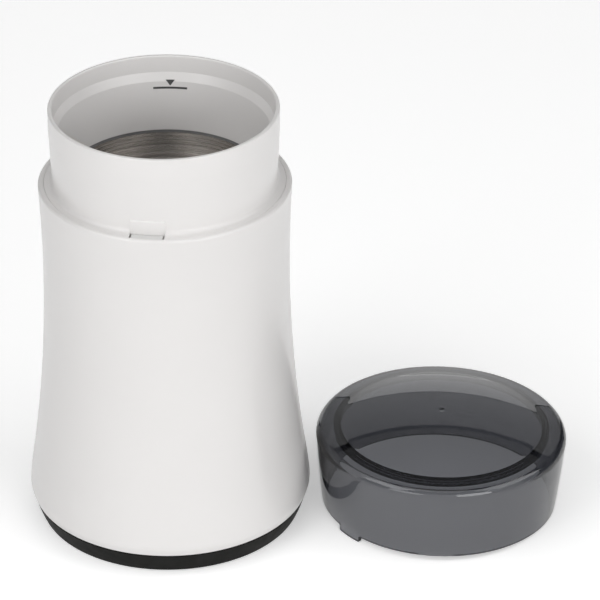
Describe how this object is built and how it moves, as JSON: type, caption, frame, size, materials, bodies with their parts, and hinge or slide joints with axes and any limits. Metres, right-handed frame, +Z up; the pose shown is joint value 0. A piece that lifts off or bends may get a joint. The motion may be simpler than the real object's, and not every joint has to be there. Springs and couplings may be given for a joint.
{
  "type": "electric spice grinder",
  "caption": "Electric spice grinder: waisted white body with a black base, a neck over a steel bowl and blade, a brushed motor, a lid interlock and a smoky clear lid lying beside it.",
  "frame": {"origin": "on the body's upright axis, level with the underside of the rubber foot ring", "axes": "+Z up along the body's axis, -Y towards the front with the slot for the lid's tab, +Y towards the cord gland, +X towards the side where the lid lies"},
  "size_m": [0.1928, 0.1106, 0.1604],
  "materials": {
    "white_plastic": "smooth moulded gloss",
    "inner_plastic": "plain moulding",
    "black_plastic": "satin moulding",
    "rubber": "matt",
    "grey_rubber": "matt",
    "bowl_steel": "spun, with fine rings",
    "blade_steel": "ground",
    "bright_steel": "machined",
    "zinc_steel": "plated",
    "lamination": "punched sheets, stacked",
    "copper_wire": "varnished winding",
    "copper_bars": "turned",
    "bronze": "sintered",
    "carbon": "pressed carbon",
    "red_plastic": "moulded",
    "yellow_plastic": "moulded",
    "smoky_clear": "clear, tinted smoke grey"
  },
  "bodies": {
    "housing": {"outer_shell": "white_plastic", "neck_collar": "white_plastic", "grinding_bowl": "bowl_steel", "bowl_gasket": "grey_rubber", "chassis": "inner_plastic", "shaft_seal": "rubber", "upper_bearing": "bronze", "lower_bearing": "bronze", "upper_bracket": "zinc_steel", "lower_bracket": "zinc_steel", "stator_core": "lamination", "field_coils": "copper_wire", "brush_yoke": "black_plastic", "carbon_brushes": "carbon", "brush_springs": "bright_steel", "motor_mounts": "rubber", "motor_screws": "bright_steel", "mount_screws": "bright_steel", "plunger_spring": "bright_steel", "micro_switch": "black_plastic", "switch_screws": "bright_steel", "base_cover": "black_plastic", "foot_ring": "rubber", "base_screws": "bright_steel", "cord_gland": "rubber", "capacitor": "yellow_plastic"},
    "rotor": {"motor_shaft": "bright_steel", "armature_core": "lamination", "armature_windings": "copper_wire", "commutator": "copper_bars", "cooling_fan": "black_plastic", "blade": "blade_steel", "blade_nut": "bright_steel"},
    "plunger": {"interlock_plunger": "white_plastic"},
    "lever": {"switch_lever": "bright_steel"},
    "button": {"switch_button": "red_plastic"},
    "lid": {"lid": "smoky_clear"}
  },
  "joints": [
    {"name": "rotor_spin", "type": "hinge", "parent": "housing", "child": "rotor", "pos_m": [0, 0, 0.1], "axis": [0, 0, 1], "continuous": true},
    {"name": "plunger_press", "type": "slide", "parent": "housing", "child": "plunger", "axis": [0, 0, -1], "range_m": [0, 0.002], "stiffness_N_per_m": 400, "springref_m": -0.004, "deforming": ["plunger_spring"]},
    {"name": "lever_swing", "type": "hinge", "parent": "housing", "child": "lever", "pos_m": [-0.007, -0.0366, 0.0811], "axis": [0, 1, 0], "range_deg": [0, 8.3]},
    {"name": "button_press", "type": "slide", "parent": "housing", "child": "button", "axis": [0, 0, -1], "range_m": [0, 0.0009]},
    {"name": "lid_lift", "type": "slide", "parent": "housing", "child": "lid", "axis": [0, 0, 1], "range_m": [0, 0.18]}
  ],
  "couplings": [
    {"joint": "lever_swing", "follows": "plunger_press", "rad_per_m": 71.429},
    {"joint": "button_press", "follows": "plunger_press", "ratio": 0.42857}
  ]
}
